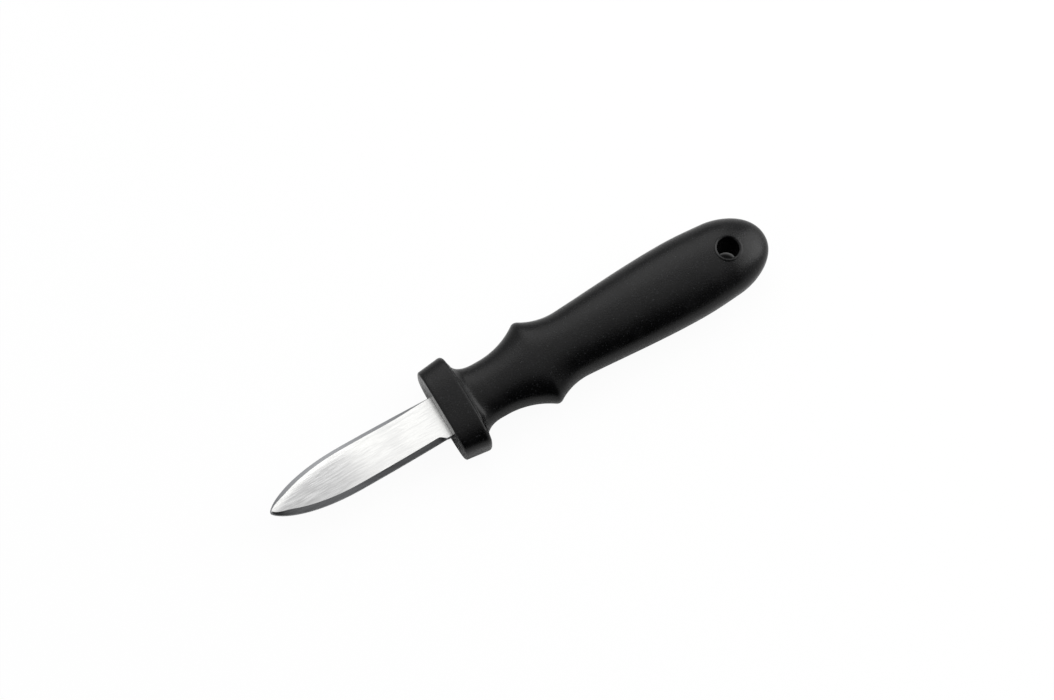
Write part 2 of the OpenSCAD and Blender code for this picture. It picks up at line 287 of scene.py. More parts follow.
def brushed_steel():
    """Satin stainless, belt finished: pale, slightly warm, with lengthways lines."""
    material = bpy.data.materials.new("satin_stainless_steel")
    material.use_nodes = True
    tree = material.node_tree
    tree.nodes.clear()
    place = add(tree, "ShaderNodeTexCoord")
    stretched = add(tree, "ShaderNodeMapping", inputs={
        "Vector": place.outputs["Object"], "Scale": (SCRATCH_STRETCH, 1, 1)})
    lines = add(tree, "ShaderNodeTexNoise", inputs={
        "Vector": stretched.outputs[0], "Scale": 1 / (SCRATCH_MM * MM), "Detail": 3.0, "Roughness": 0.65})
    patches = add(tree, "ShaderNodeTexNoise", inputs={
        "Vector": place.outputs["Object"], "Scale": 1 / (PATCH_MM * MM), "Detail": 1.0})
    tone = add(tree, "ShaderNodeMapRange", inputs={
        "Value": lines.outputs["Fac"], "From Min": NOISE_LOW, "From Max": NOISE_HIGH,
        "To Min": STEEL_SMOOTHEST, "To Max": STEEL_ROUGHEST})
    pressed = add(tree, "ShaderNodeMath", {"operation": "MULTIPLY"}, {
        0: lines.outputs["Fac"], 1: patches.outputs["Fac"]})
    spread = add(tree, "ShaderNodeMapRange", inputs={
        "Value": pressed.outputs[0], "From Min": PRESSED_LOW, "From Max": PRESSED_HIGH})
    steel = add(tree, "ShaderNodeMix", {"data_type": "RGBA"}, {
        "Factor": spread.outputs[0], 6: colour("#e6e6e5"), 7: colour("#f5f5f3")})
    # Painted reflection: the tip half of the flats gets a darker grey, streaked by the belt's lines,
    # standing in for the darker room it reflects.
    tip_grey_reflection = add(tree, "ShaderNodeAttribute", {"attribute_name": "tip_grey_reflection"})
    streaks = add(tree, "ShaderNodeMapRange", inputs={
        "Value": lines.outputs["Fac"], "From Min": STREAK_DARK, "From Max": STREAK_PALE})
    streaked_tip_grey = add(tree, "ShaderNodeMix", {"data_type": "RGBA"}, {
        "Factor": streaks.outputs[0], 6: colour("#bababa"), 7: colour("#d8d8d8")})
    tip_greyed = add(tree, "ShaderNodeMix", {"data_type": "RGBA"}, {
        "Factor": tip_grey_reflection.outputs["Fac"], 6: steel.outputs[2], 7: streaked_tip_grey.outputs[2]})
    ground = add(tree, "ShaderNodeAttribute", {"attribute_name": "ground"})
    on_bevel = add(tree, "ShaderNodeMapRange", inputs={
        "Value": ground.outputs["Fac"], "From Max": BEVEL_FULL})
    on_edge = add(tree, "ShaderNodeMapRange", inputs={
        "Value": ground.outputs["Fac"], "From Min": EDGE_FROM})
    # Painted shade: bevels and edge get darker colours for the darker room they reflect; only their extra
    # roughness comes from the coarser wheel.
    bevel_shade_painted = add(tree, "ShaderNodeMix", {"data_type": "RGBA"}, {
        "Factor": on_bevel.outputs[0], 6: tip_greyed.outputs[2], 7: colour("#8c8d8f")})
    edge_shade_painted = add(tree, "ShaderNodeMix", {"data_type": "RGBA"}, {
        "Factor": on_edge.outputs[0], 6: bevel_shade_painted.outputs[2], 7: colour("#78797b")})
    rougher = add(tree, "ShaderNodeMath", {"operation": "MULTIPLY_ADD"}, {
        0: on_bevel.outputs[0], 1: BEVEL_ROUGHER, 2: tone.outputs[0]})
    relief = add(tree, "ShaderNodeBump", inputs={
        "Height": lines.outputs["Fac"], "Strength": 0.1, "Distance": SCRATCH_DEPTH_MM * MM})
    shader = add(tree, "ShaderNodeBsdfPrincipled", inputs={
        "Base Color": edge_shade_painted.outputs[2], "Metallic": 1.0, "Roughness": rougher.outputs[0],
        "Normal": relief.outputs[0]})
    add(tree, "ShaderNodeOutputMaterial", inputs={"Surface": shader.outputs[0]})
    return material


steel = brushed_steel()
print(steel.name)

# %% [markdown]
# The grip is black thermoplastic elastomer, injected into a spark-eroded mould. The
# mould's texture leaves a fine even grain that scatters light, so the surface is matte.
# The elastomer itself is almost perfectly black: nearly all that the eye sees is the
# sheen. Three noises vary it: a fine one for the grain, a broad one for flow marks, and
# one for a few pale specks of dust. Real grain is too fine to show in a picture, so this
# one is drawn coarser.

# %% Material: moulded elastomer
GRAIN_MM = 0.4
MOTTLE_MM = 6
SPECK_MM = 0.55
SPECK_FROM, SPECK_FULL = 0.62, 0.78
GRAIN_STRENGTH, GRAIN_DEPTH_MM = 0.45, 0.15
RUBBER_SMOOTHEST, RUBBER_ROUGHEST = 0.20, 0.32

def moulded_elastomer():
    """Black TPE with a spark-eroded grain."""
    material = bpy.data.materials.new("black_moulded_elastomer")
    material.use_nodes = True
    tree = material.node_tree
    tree.nodes.clear()
    place = add(tree, "ShaderNodeTexCoord")
    grain = add(tree, "ShaderNodeTexNoise", inputs={
        "Vector": place.outputs["Object"], "Scale": 1 / (GRAIN_MM * MM), "Detail": 4.0, "Roughness": 0.6})
    mottle = add(tree, "ShaderNodeTexNoise", inputs={
        "Vector": place.outputs["Object"], "Scale": 1 / (MOTTLE_MM * MM), "Detail": 3.0})
    dust = add(tree, "ShaderNodeTexNoise", inputs={
        "Vector": place.outputs["Object"], "Scale": 1 / (SPECK_MM * MM), "Detail": 1.0})
    dusty = add(tree, "ShaderNodeMapRange", inputs={
        "Value": dust.outputs["Fac"], "From Min": SPECK_FROM, "From Max": SPECK_FULL})
    plain = add(tree, "ShaderNodeMix", {"data_type": "RGBA"}, {
        "Factor": mottle.outputs["Fac"], 6: colour("#020202"), 7: colour("#0a0a0b")})
    rubber = add(tree, "ShaderNodeMix", {"data_type": "RGBA"}, {
        "Factor": dusty.outputs[0], 6: plain.outputs[2], 7: colour("#242426")})
    tone = add(tree, "ShaderNodeMapRange", inputs={
        "Value": mottle.outputs["Fac"], "From Min": NOISE_LOW, "From Max": NOISE_HIGH,
        "To Min": RUBBER_SMOOTHEST, "To Max": RUBBER_ROUGHEST})
    relief = add(tree, "ShaderNodeBump", inputs={
        "Height": grain.outputs["Fac"], "Strength": GRAIN_STRENGTH, "Distance": GRAIN_DEPTH_MM * MM})
    shader = add(tree, "ShaderNodeBsdfPrincipled", inputs={
        "Base Color": rubber.outputs[2], "Roughness": tone.outputs[0], "IOR": 1.5,
        "Specular IOR Level": 0.2, "Normal": relief.outputs[0]})
    add(tree, "ShaderNodeOutputMaterial", inputs={"Surface": shader.outputs[0]})
    return material


rubber = moulded_elastomer()
print(rubber.name)

# %% [markdown]
# The core never shows, as the grip covers it all over, but it is part of the model, so
# it has the finish of the plain polypropylene that such inserts are moulded from. Its
# shape in the construction model is right, so that node stays and only gets a material.

# %% Material: hidden core
FLOW_MM = 4

def moulded_polypropylene():
    """Plain black PP with a faint flow pattern, waxy rather than shiny."""
    material = bpy.data.materials.new("plain_polypropylene")
    material.use_nodes = True
    tree = material.node_tree
    tree.nodes.clear()
    place = add(tree, "ShaderNodeTexCoord")
    flow = add(tree, "ShaderNodeTexNoise", inputs={
        "Vector": place.outputs["Object"], "Scale": 1 / (FLOW_MM * MM), "Detail": 2.0})
    resin = add(tree, "ShaderNodeMix", {"data_type": "RGBA"}, {
        "Factor": flow.outputs["Fac"], 6: colour("#2b2c2f"), 7: colour("#34363a")})
    shader = add(tree, "ShaderNodeBsdfPrincipled", inputs={
        "Base Color": resin.outputs[2], "Roughness": 0.45, "IOR": 1.49})
    add(tree, "ShaderNodeOutputMaterial", inputs={"Surface": shader.outputs[0]})
    return material


core_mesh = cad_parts["handle_core"].data
core_mesh.materials.clear()
core_mesh.materials.append(moulded_polypropylene())
print("core finished")

# %% [markdown]
# The blade follows a rule. Its half width is a full rounded nose that runs out into
# nearly parallel edges. On each side a ground bevel leaves a blunt edge. Both bevels
# widen towards the tip, and in the last 7 mm they narrow to about half. The narrow one
# fades out slowly towards the guard, and the wide one ends in a short plunge, where the
# grinding wheel was lifted. A rule like this suits Geometry Nodes: a grid is wrapped
# round the section, and each point is set by its row and its column.

# %% The blade's tree: sizes, and the grid's rows and columns
BLADE_SIZES = {
    "Length": BLADE_LEN, "Width": BLADE_W, "Root Width": 14.3, "Widest At": 29.7,
    "Thickness": BLADE_T, "Edge Thickness": 1.2, "Fading Bevel": 1.2, "Plunging Bevel": 1.6,
    "Bevel Growth": 0.3, "Shoulder Depth": 4.5, "Tang Length": 78, "Tang Width": 10,
    "Anchor Diameter": 5, "Crown": 0.2, "Tip Narrowing": 7,
}
NOSE_END, NOSE_FRONT, NOSE_SIDE = 0.9984, 2.28, 1.44
FADE_START, FADE_PAST = 0.71, 6.5
PLUNGE_BEFORE, PLUNGE_END = 4.4, 1.5
TIP_BEVEL_SHARE = 0.45
TIP_RISE = 0.6
CROWN_FROM, CROWN_TO = 20, 44
TIP_GREY_FROM, TIP_GREY_TO = 20, 36
STRIP_FROM, STRIP_TO = 0.8, 2.4
LEAST_FLAT = 0.02
MERGE_WITHIN = 0.0005
ANCHORS = 3
DRILL_LEN = 6
ROUND_SIDES = 48
ROWS = 180
ROW_CROWDING = 1.6
TOP_COLUMNS = 17
BEVEL_LINE = 0.75
MATH = "ShaderNodeMath"
RANGE = "ShaderNodeMapRange"
MIX = "ShaderNodeMix"

blade_tree = bpy.data.node_groups.new("blade_by_rule", "GeometryNodeTree")
blade_tree.interface.new_socket("Geometry", in_out="OUTPUT", socket_type="NodeSocketGeometry")
for name in BLADE_SIZES:
    blade_tree.interface.new_socket(name, in_out="INPUT", socket_type="NodeSocketFloat")
size = add(blade_tree, "NodeGroupInput").outputs
columns = 2 * TOP_COLUMNS + 1
grid = add(blade_tree, "GeometryNodeMeshGrid", inputs={
    "Size X": ROWS - 1, "Size Y": columns - 1, "Vertices X": ROWS, "Vertices Y": columns})
grid_place = add(blade_tree, "GeometryNodeInputPosition").outputs[0]
here = add(blade_tree, "ShaderNodeSeparateXYZ", inputs={0: grid_place})
row = add(blade_tree, MATH, {"operation": "ADD"}, {0: here.outputs["X"], 1: (ROWS - 1) / 2}).outputs[0]
count = add(blade_tree, MATH, {"operation": "ADD"}, {0: here.outputs["Y"], 1: (columns - 1) / 2}).outputs[0]
column = add(blade_tree, MATH, {"operation": "FLOORED_MODULO"}, {0: count, 1: columns - 1}).outputs[0]
print(f"grid of {ROWS} rows and {columns} columns")

# %% [markdown]
# The rows crowd together towards the tip, where the outline turns fastest. The first
# and the last row shrink to a point, which closes the ends.

# %% Along the blade: distance, half width, bevels and thickness
run = add(blade_tree, RANGE, inputs={"Value": row, "From Min": 1, "From Max": ROWS - 2}).outputs[0]
crowded = add(blade_tree, MATH, {"operation": "POWER"}, {0: run, 1: ROW_CROWDING}).outputs[0]
whole = add(blade_tree, MATH, {"operation": "ADD"}, {
    0: size["Length"], 1: size["Shoulder Depth"]}).outputs[0]
distance = add(blade_tree, MATH, {"operation": "MULTIPLY"}, {0: crowded, 1: whole}).outputs[0]

nose_run = add(blade_tree, RANGE, inputs={
    "Value": distance, "From Max": size["Widest At"], "To Min": NOSE_END, "To Max": 0}).outputs[0]
nose_curve = add(blade_tree, MATH, {"operation": "POWER"}, {0: nose_run, 1: NOSE_FRONT}).outputs[0]
nose_left = add(blade_tree, MATH, {"operation": "SUBTRACT"}, {0: 1, 1: nose_curve}).outputs[0]
nose = add(blade_tree, MATH, {"operation": "POWER"}, {0: nose_left, 1: 1 / NOSE_SIDE}).outputs[0]
root_run = add(blade_tree, RANGE, inputs={
    "Value": distance, "From Min": size["Widest At"], "From Max": size["Length"]}).outputs[0]
root_curve = add(blade_tree, MATH, {"operation": "POWER"}, {0: root_run, 1: 2}).outputs[0]
width = add(blade_tree, MIX, inputs={0: root_curve, 2: size["Width"], 3: size["Root Width"]}).outputs[0]
full = add(blade_tree, MATH, {"operation": "MULTIPLY"}, {0: width, 1: nose}).outputs[0]
half = add(blade_tree, MATH, {"operation": "MULTIPLY"}, {0: full, 1: 0.5}).outputs[0]

growth = add(blade_tree, RANGE, {"interpolation_type": "SMOOTHSTEP"}, {
    "Value": distance, "From Max": size["Widest At"],
    "To Min": size["Bevel Growth"], "To Max": 0}).outputs[0]
at_tip = add(blade_tree, RANGE, {"interpolation_type": "SMOOTHSTEP"}, {
    "Value": distance, "From Max": size["Tip Narrowing"],
    "To Min": TIP_BEVEL_SHARE, "To Max": 1}).outputs[0]
left_grown = add(blade_tree, MATH, {"operation": "ADD"}, {0: size["Fading Bevel"], 1: growth}).outputs[0]
right_grown = add(blade_tree, MATH, {"operation": "ADD"}, {0: size["Plunging Bevel"], 1: growth}).outputs[0]
left_full = add(blade_tree, MATH, {"operation": "MULTIPLY"}, {0: left_grown, 1: at_tip}).outputs[0]
right_full = add(blade_tree, MATH, {"operation": "MULTIPLY"}, {0: right_grown, 1: at_tip}).outputs[0]
fade_from = add(blade_tree, MATH, {"operation": "MULTIPLY"}, {0: size["Length"], 1: FADE_START}).outputs[0]
fade_to = add(blade_tree, MATH, {"operation": "ADD"}, {0: size["Length"], 1: FADE_PAST * MM}).outputs[0]
left_bevel = add(blade_tree, RANGE, {"interpolation_type": "SMOOTHSTEP"}, {
    "Value": distance, "From Min": fade_from, "From Max": fade_to,
    "To Min": left_full, "To Max": 0}).outputs[0]
plunge_from = add(blade_tree, MATH, {"operation": "SUBTRACT"}, {
    0: size["Length"], 1: PLUNGE_BEFORE * MM}).outputs[0]
plunge_to = add(blade_tree, MATH, {"operation": "SUBTRACT"}, {
    0: size["Length"], 1: PLUNGE_END * MM}).outputs[0]
right_bevel = add(blade_tree, RANGE, {"interpolation_type": "SMOOTHSTEP"}, {
    "Value": distance, "From Min": plunge_from, "From Max": plunge_to,
    "To Min": right_full, "To Max": 0}).outputs[0]
half_edge = add(blade_tree, MATH, {"operation": "MULTIPLY"}, {0: size["Edge Thickness"], 1: 0.5}).outputs[0]
half_steel = add(blade_tree, MATH, {"operation": "MULTIPLY"}, {0: size["Thickness"], 1: 0.5}).outputs[0]
rise = add(blade_tree, RANGE, inputs={
    "Value": distance, "From Max": TIP_RISE * MM, "To Min": half_edge, "To Max": half_steel}).outputs[0]

# %% [markdown]
# Towards the tip the belt has rounded the flats a little across the blade. The crown is
# a fifth of a millimetre, and it helps to turn the light on the tip half to grey.

# %% Crown of the flats
crown_full = add(blade_tree, RANGE, {"interpolation_type": "SMOOTHSTEP"}, {
    "Value": distance, "From Min": CROWN_FROM * MM, "From Max": CROWN_TO * MM,
    "To Min": size["Crown"], "To Max": 0}).outputs[0]
crown = add(blade_tree, MATH, {"operation": "MULTIPLY"}, {0: crown_full, 1: nose}).outputs[0]

# %% [markdown]
# Across the blade the columns run over the upper face from one edge to the other and
# back over the lower face. Between the bevel line and the edge the surface falls from
# the full thickness to the blunt edge.

# %% Across the blade: flat, bevel and edge
last = TOP_COLUMNS - 1
over = add(blade_tree, RANGE, inputs={
    "Value": column, "From Max": last, "To Min": -1, "To Max": 1}).outputs[0]
under = add(blade_tree, RANGE, inputs={
    "Value": column, "From Min": TOP_COLUMNS, "From Max": 2 * last + 1,
    "To Min": 1, "To Max": -1}).outputs[0]
below = add(blade_tree, MATH, {"operation": "COMPARE"}, {
    0: column, 1: TOP_COLUMNS + last / 2, 2: last / 2 + 0.4}).outputs[0]
across = add(blade_tree, MIX, inputs={0: below, 2: over, 3: under}).outputs[0]
is_left = add(blade_tree, MATH, {"operation": "GREATER_THAN"}, {0: across, 1: 0}).outputs[0]
bevel = add(blade_tree, MIX, inputs={0: is_left, 2: right_bevel, 3: left_bevel}).outputs[0]
out = add(blade_tree, MATH, {"operation": "ABSOLUTE"}, {0: across}).outputs[0]
on_flat = add(blade_tree, RANGE, inputs={"Value": out, "From Max": BEVEL_LINE}).outputs[0]
on_bevel = add(blade_tree, RANGE, inputs={"Value": out, "From Min": BEVEL_LINE}).outputs[0]
flat_half = add(blade_tree, MATH, {"operation": "SUBTRACT"}, {0: half, 1: bevel}).outputs[0]
flat_safe = add(blade_tree, MATH, {"operation": "MAXIMUM"}, {0: flat_half, 1: LEAST_FLAT * MM}).outputs[0]
bevel_safe = add(blade_tree, MATH, {"operation": "SUBTRACT"}, {0: half, 1: flat_safe}).outputs[0]
flat_part = add(blade_tree, MATH, {"operation": "MULTIPLY"}, {0: on_flat, 1: flat_safe}).outputs[0]
reach = add(blade_tree, MATH, {"operation": "MULTIPLY_ADD"}, {
    0: on_bevel, 1: bevel_safe, 2: flat_part}).outputs[0]
sign = add(blade_tree, MATH, {"operation": "SIGN"}, {0: across}).outputs[0]
aside = add(blade_tree, MATH, {"operation": "MULTIPLY"}, {0: reach, 1: sign}).outputs[0]
arch = add(blade_tree, MATH, {"operation": "POWER"}, {0: on_flat, 1: 2}).outputs[0]
sunk = add(blade_tree, MATH, {"operation": "MULTIPLY"}, {0: arch, 1: crown}).outputs[0]
crowned = add(blade_tree, MATH, {"operation": "SUBTRACT"}, {0: rise, 1: sunk}).outputs[0]
crown_safe = add(blade_tree, MATH, {"operation": "MAXIMUM"}, {0: crowned, 1: half_edge}).outputs[0]
fall = add(blade_tree, MIX, inputs={0: on_bevel, 2: crown_safe, 3: half_edge}).outputs[0]
flip = add(blade_tree, RANGE, inputs={"Value": below, "To Min": 1, "To Max": -1}).outputs[0]
level = add(blade_tree, MATH, {"operation": "MULTIPLY"}, {0: fall, 1: flip}).outputs[0]
inner = add(blade_tree, MATH, {"operation": "COMPARE"}, {
    0: row, 1: (ROWS - 1) / 2, 2: (ROWS - 1) / 2 - 0.5}).outputs[0]
spot = add(blade_tree, "ShaderNodeCombineXYZ", inputs={
    "Y": add(blade_tree, MATH, {"operation": "MULTIPLY"}, {0: aside, 1: inner}).outputs[0],
    "Z": add(blade_tree, MATH, {"operation": "MULTIPLY"}, {0: level, 1: inner}).outputs[0],
    "X": distance}).outputs[0]
marked = add(blade_tree, "GeometryNodeStoreNamedAttribute", {"data_type": "FLOAT", "domain": "FACE"}, {
    "Geometry": grid.outputs["Mesh"], "Name": "ground", "Value": on_bevel})
# Painted reflection: this mask picks the tip half of the flats, but for a strip along one edge, for the
# steel's painted grey.
past_nose = add(blade_tree, RANGE, {"interpolation_type": "SMOOTHSTEP"}, {
    "Value": distance, "From Min": TIP_GREY_FROM * MM, "From Max": TIP_GREY_TO * MM,
    "To Min": 1, "To Max": 0}).outputs[0]
strip = add(blade_tree, MATH, {"operation": "SUBTRACT"}, {0: flat_half, 1: aside}).outputs[0]
below_strip = add(blade_tree, RANGE, {"interpolation_type": "SMOOTHSTEP"}, {
    "Value": strip, "From Min": STRIP_FROM * MM, "From Max": STRIP_TO * MM}).outputs[0]
tip_grey_reflection = add(blade_tree, MATH, {"operation": "MULTIPLY"}, {0: past_nose, 1: below_strip}).outputs[0]
marked_tip_grey = add(blade_tree, "GeometryNodeStoreNamedAttribute", {
    "data_type": "FLOAT", "domain": "POINT"}, {
    "Geometry": marked.outputs[0], "Name": "tip_grey_reflection", "Value": tip_grey_reflection})
shaped = add(blade_tree, "GeometryNodeSetPosition", inputs={
    "Geometry": marked_tip_grey.outputs[0], "Position": spot})
closed = add(blade_tree, "GeometryNodeMergeByDistance", inputs={
    "Geometry": shaped.outputs[0], "Distance": MERGE_WITHIN * MM})

# %% [markdown]
# The tang is a plate of the same steel with a round end. Its anchor holes repeat, so
# one cylinder is placed on a row of points and cut out of the plate. The handle hides
# all of it, but the blade is one piece of steel, so the tang belongs to it.

# %% The tang and its anchor holes
half_tang = add(blade_tree, MATH, {"operation": "MULTIPLY"}, {0: size["Tang Width"], 1: 0.5}).outputs[0]
plate_len = add(blade_tree, MATH, {"operation": "SUBTRACT"}, {
    0: size["Tang Length"], 1: half_tang}).outputs[0]
plate_size = add(blade_tree, "ShaderNodeCombineXYZ", inputs={
    "X": plate_len, "Y": size["Tang Width"], "Z": size["Thickness"]}).outputs[0]
plate = add(blade_tree, "GeometryNodeMeshCube", inputs={"Size": plate_size})
plate_middle = add(blade_tree, MATH, {"operation": "MULTIPLY_ADD"}, {
    0: plate_len, 1: 0.5, 2: whole}).outputs[0]
plate_place = add(blade_tree, "ShaderNodeCombineXYZ", inputs={"X": plate_middle}).outputs[0]
plate_set = add(blade_tree, "GeometryNodeTransform", inputs={
    "Geometry": plate.outputs[0], "Translation": plate_place})
end = add(blade_tree, "GeometryNodeMeshCylinder", inputs={
    "Vertices": ROUND_SIDES, "Radius": half_tang, "Depth": size["Thickness"]})
end_x = add(blade_tree, MATH, {"operation": "ADD"}, {0: whole, 1: plate_len}).outputs[0]
end_place = add(blade_tree, "ShaderNodeCombineXYZ", inputs={"X": end_x}).outputs[0]
end_set = add(blade_tree, "GeometryNodeTransform", inputs={
    "Geometry": end.outputs["Mesh"], "Translation": end_place})
both = add(blade_tree, "GeometryNodeMeshBoolean", {"operation": "UNION"}, {1: plate_set.outputs[0]})
blade_tree.links.new(end_set.outputs[0], both.inputs[1])
pitch_all = add(blade_tree, MATH, {"operation": "SUBTRACT"}, {
    0: size["Tang Length"], 1: size["Tang Width"]}).outputs[0]
pitch = add(blade_tree, MATH, {"operation": "DIVIDE"}, {0: pitch_all, 1: ANCHORS}).outputs[0]
first_x = add(blade_tree, MATH, {"operation": "ADD"}, {0: size["Shoulder Depth"], 1: pitch}).outputs[0]
first_from_tip = add(blade_tree, MATH, {"operation": "ADD"}, {0: size["Length"], 1: first_x}).outputs[0]
line = add(blade_tree, "GeometryNodeMeshLine", inputs={
    "Count": ANCHORS,
    "Start Location": add(blade_tree, "ShaderNodeCombineXYZ", inputs={"X": first_from_tip}).outputs[0],
    "Offset": add(blade_tree, "ShaderNodeCombineXYZ", inputs={"X": pitch}).outputs[0]})
half_hole = add(blade_tree, MATH, {"operation": "MULTIPLY"}, {
    0: size["Anchor Diameter"], 1: 0.5}).outputs[0]
drill = add(blade_tree, "GeometryNodeMeshCylinder", inputs={
    "Vertices": ROUND_SIDES, "Radius": half_hole, "Depth": DRILL_LEN * MM})
drills = add(blade_tree, "GeometryNodeInstanceOnPoints", inputs={
    "Points": line.outputs[0], "Instance": drill.outputs["Mesh"]})
drills_real = add(blade_tree, "GeometryNodeRealizeInstances", inputs={"Geometry": drills.outputs[0]})
tang = add(blade_tree, "GeometryNodeMeshBoolean", {"operation": "DIFFERENCE"}, {
    "Mesh 1": both.outputs[0], "Mesh 2": drills_real.outputs[0]})

# %% [markdown]
# Blade and tang join into one mesh. It is moved so that its tip lies where the frame's
# blade begins, at the height of the handle's axis, and it gets the steel.

# %% Join, place and finish the tree
joined = add(blade_tree, "GeometryNodeJoinGeometry", inputs={0: closed.outputs[0]})
blade_tree.links.new(tang.outputs[0], joined.inputs[0])
placed = add(blade_tree, "GeometryNodeTransform", inputs={
    "Geometry": joined.outputs[0], "Translation": (TIP_X * MM, 0, AXIS_Z * MM)})
realized = add(blade_tree, "GeometryNodeRealizeInstances", inputs={"Geometry": placed.outputs[0]})
finished = add(blade_tree, "GeometryNodeSetMaterial", inputs={
    "Geometry": realized.outputs[0], "Material": steel})
add(blade_tree, "NodeGroupOutput", inputs={0: finished.outputs[0]})
print(f"{len(blade_tree.nodes)} nodes in the blade's tree")

# %% [markdown]
# The tree runs on an empty mesh, and its sizes go in by each socket's identifier. The
# result becomes a plain mesh. Edges that turn by more than 8 degrees stay crisp, so
# the bevels catch the light as flat ground faces.

# %% The blade as a mesh
CRISP_STEEL = radians(8)

def piece(name, mesh, node):
    """An object at the origin that stands for a node of the construction model."""
    thing = bpy.data.objects.new(name, mesh)
    bpy.context.scene.collection.objects.link(thing)
    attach(thing, "root")
    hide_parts(node)
    return thing


seed = bpy.data.objects.new("blade_seed", bpy.data.meshes.new("blade_seed"))
bpy.context.scene.collection.objects.link(seed)
grow = seed.modifiers.new("grow", "NODES")
grow.node_group = blade_tree
for socket in blade_tree.interface.items_tree:
    if socket.in_out == "INPUT":
        grow[socket.identifier] = BLADE_SIZES[socket.name] * MM
evaluated = seed.evaluated_get(bpy.context.evaluated_depsgraph_get())
blade_mesh = bpy.data.meshes.new_from_object(evaluated)
blade_mesh.name = "blade_steel"
used_slots = {face.material_index for face in blade_mesh.polygons}
blade_mesh.materials.clear()
blade_mesh.materials.append(steel)
seed.modifiers.remove(grow)
bpy.data.objects.remove(seed)
blade_mesh.shade_smooth()
blade_mesh.set_sharp_from_angle(angle=CRISP_STEEL)
piece("blade_steel", blade_mesh, "blade")
print(f"blade: {len(blade_mesh.polygons)} faces, made with material slots {used_slots}")

# %% [markdown]
# The grip is one moulded skin. Every section across it is an oval: nearly a rounded box
# at the guard, and close to an ellipse behind it. So it is lofted through rings, each
# with a half width, a half thickness and a squareness. The neck and the waist are arcs
# of a circle that meet in the pointed finger wings, and smooth cubic curves do the rest.

# %% Grip sizes and its curves
NECK_W, NECK_T, NECK_X = 19.3, 13.6, 18.5
WING_W, WING_X, WING_ROUND = 29.6, 34.6, 2.3
WAIST_W, WAIST_T, WAIST_X = 22.7, 16.4, 46.3
BELLY_W, BELLY_X = 27.2, 88.4
BUTT_LEN, BUTT_W, BUTT_T = 16.3, 24.7, 14.4
BODY_SQUARE = 2.3
BUTT_START = HANDLE_LEN - BUTT_LEN
CREST_SHARE = 0.16
LEAST_HALF = 0.05

def along(row, x):
    """Cubic curve through stations of x, size and slope."""
    i = 0
    while i < len(row) - 2 and x > row[i + 1][0]:
        i += 1
    (xa, a, slope_a), (xb, b, slope_b) = row[i], row[i + 1]
    reach = xb - xa
    t = (x - xa) / reach
    s = t * t * (3 - 2 * t)
    return a * (1 - s) + b * s + reach * t * (1 - t) * (slope_a * (1 - t) - slope_b * t)


def dip(d, run, rise):
    """Height and slope of a circular dip that has risen by rise at a distance run."""
    r = (run * run + rise * rise) / (2 * rise)
    return r - sqrt(r * r - d * d), d / sqrt(r * r - d * d)


crest_drop = CREST_SHARE * WING_ROUND
wing_in, wing_out = WING_X - WING_ROUND / 2, WING_X + WING_ROUND / 2
neck_arc = (wing_in - NECK_X, WING_W / 2 - crest_drop - NECK_W / 2)
waist_arc = (WAIST_X - wing_out, WING_W / 2 - crest_drop - WAIST_W / 2)
SWELL_START = 1.2
crest = [(wing_in, WING_W / 2 - crest_drop, dip(neck_arc[0], *neck_arc)[1]),
         (WING_X, WING_W / 2, 0),
         (wing_out, WING_W / 2 - crest_drop, -dip(waist_arc[0], *waist_arc)[1])]
start_rise, start_slope = dip(SWELL_START, *waist_arc)
swell = [(WAIST_X + SWELL_START, WAIST_W / 2 + start_rise, start_slope),
         (BELLY_X, BELLY_W / 2, 0), (HANDLE_LEN, BUTT_W / 2, 0.07)]
thickness = [(0, NECK_T / 2, 0), (NECK_X, NECK_T / 2, 0.02), (WAIST_X, WAIST_T / 2, 0.035),
             (BELLY_X, BELLY_T / 2, 0), (HANDLE_LEN, BUTT_T / 2, -0.09)]


def half_width(x):
    """Half width of the body behind the guard."""
    if x < NECK_X:
        return NECK_W / 2
    if x < wing_in:
        return NECK_W / 2 + dip(x - NECK_X, *neck_arc)[0]
    if x < wing_out:
        return along(crest, x)
    if x < WAIST_X + SWELL_START:
        return WAIST_W / 2 + dip(x - WAIST_X, *waist_arc)[0]
    return along(swell, x)


def body_ring(x):
    """The oval at x behind the guard, rounded off in the butt."""
    cap = 1 if x <= BUTT_START else sqrt(max(0, 1 - ((x - BUTT_START) / BUTT_LEN) ** 2))
    wide, thick = half_width(x) * cap, along(thickness, x) * cap
    return x, max(LEAST_HALF, wide), max(LEAST_HALF, thick), BODY_SQUARE


print(f"wings {2 * half_width(WING_X):.1f} mm, waist {2 * half_width(WAIST_X):.1f} mm across")

# %% [markdown]
# The guard is a drafted plate with a tight front edge and a softer rear edge. Behind it
# a hollow runs in to the neck, where finger and thumb rest. It is shorter on the faces
# than at the sides. In front the guard has a slot that the blade's shoulder fills.

# %% Rings from the blade's slot to the end of the butt
GUARD_W, GUARD_T, GUARD_LEN = 33.3, 17.5, 9.4
GUARD_DRAFT, FRONT_R, REAR_R, LEAN = 1.2, 0.6, 1.7, 0.4
HOLLOW_H, HOLLOW_LEN, HOLLOW_FACE_LEN = 3.5, 6.7, 2
GUARD_SQUARE = 3.4
SLOT_GAP, SLOT_EASE, SLOT_SQUARE = 0.06, 0.15, 14
SLOT_POINT = 0.02
FACE_STEPS, FRONT_STEPS, RIM_STEPS, REAR_STEPS, HOLLOW_STEPS = 5, 8, 10, 12, 20
ROOT_W = BLADE_SIZES["Root Width"]
SHOULDER = BLADE_SIZES["Shoulder Depth"]
proud = (GUARD_T - NECK_T) / 2
slot_half = (ROOT_W / 2 + SLOT_GAP, BLADE_T / 2 + SLOT_GAP)


def rim_half(x):
    """Half width of the guard's rim, which narrows towards the front."""
    return GUARD_W / 2 - GUARD_DRAFT * (1 - x / GUARD_LEN)


def ease(t):
    """A smooth step from 0 to 1."""
    return t * t * (3 - 2 * t)


